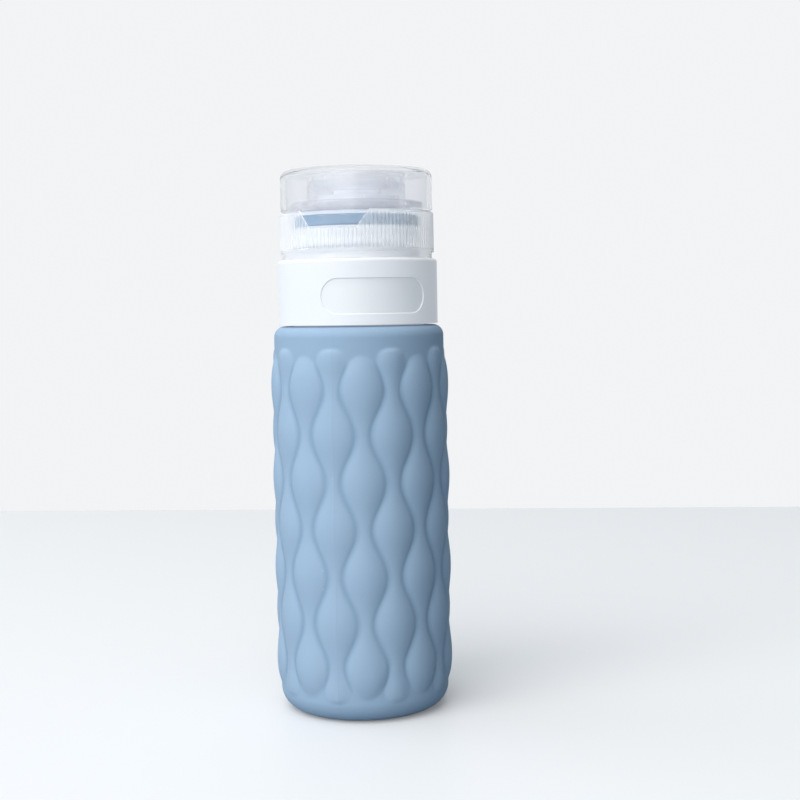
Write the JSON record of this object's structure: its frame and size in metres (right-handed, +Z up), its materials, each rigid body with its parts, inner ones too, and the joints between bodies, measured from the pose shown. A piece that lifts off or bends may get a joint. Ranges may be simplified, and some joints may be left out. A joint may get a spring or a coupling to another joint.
{
  "type": "travel squeeze bottle",
  "caption": "Soft squeeze bottle with teardrop relief, windowed collar and screw cap with a clear flip lid, for carrying toiletries.",
  "frame": {"origin": "centre of the base, on the surface that the bottle stands on", "axes": "+Z up along the bottle's axis; -Y is the front with the thumb notch and the mould's parting line; the lid's hinge is at +Y"},
  "size_m": [0.0438, 0.0442, 0.1327],
  "materials": {
    "blue_silicone": "matte slate-blue moulded silicone",
    "white_plastic": "semi-gloss white polypropylene",
    "dial_plastic": "satin off-white polypropylene",
    "frosted_plastic": "translucent frosted polypropylene",
    "clear_plastic": "clear polished polypropylene",
    "clear_silicone": "translucent silicone"
  },
  "bodies": {
    "bottle": {"squeeze_body": "blue_silicone", "neck_sleeve": "white_plastic", "label_dial": "dial_plastic"},
    "collar": {"window_collar": "white_plastic", "window_pane": "frosted_plastic"},
    "seal": {"seal_washer": "clear_silicone"},
    "cap": {"cap_base": "frosted_plastic", "slit_valve": "clear_silicone", "valve_retainer": "frosted_plastic", "hinge_strap": "clear_plastic"},
    "lid": {"flip_lid": "clear_plastic"}
  },
  "joints": [
    {"name": "collar_turn", "type": "hinge", "parent": "bottle", "child": "collar", "pos_m": [0, 0, 0.103], "axis": [0, 0, 1], "continuous": true},
    {"name": "cap_lift", "type": "slide", "parent": "bottle", "child": "seal", "axis": [0, 0, 1], "range_m": [0, 0.01281]},
    {"name": "cap_turn", "type": "hinge", "parent": "seal", "child": "cap", "pos_m": [0, 0, 0.1165], "axis": [0, 0, 1], "range_deg": [0, 1440]},
    {"name": "lid_flip", "type": "hinge", "parent": "cap", "child": "lid", "pos_m": [0, 0.0192, 0.12268], "axis": [-1, 0, 0], "range_deg": [0, 165], "deforming": ["hinge_strap"]}
  ],
  "couplings": [
    {"joint": "cap_lift", "follows": "cap_turn", "m_per_rad": 0.0005093}
  ]
}
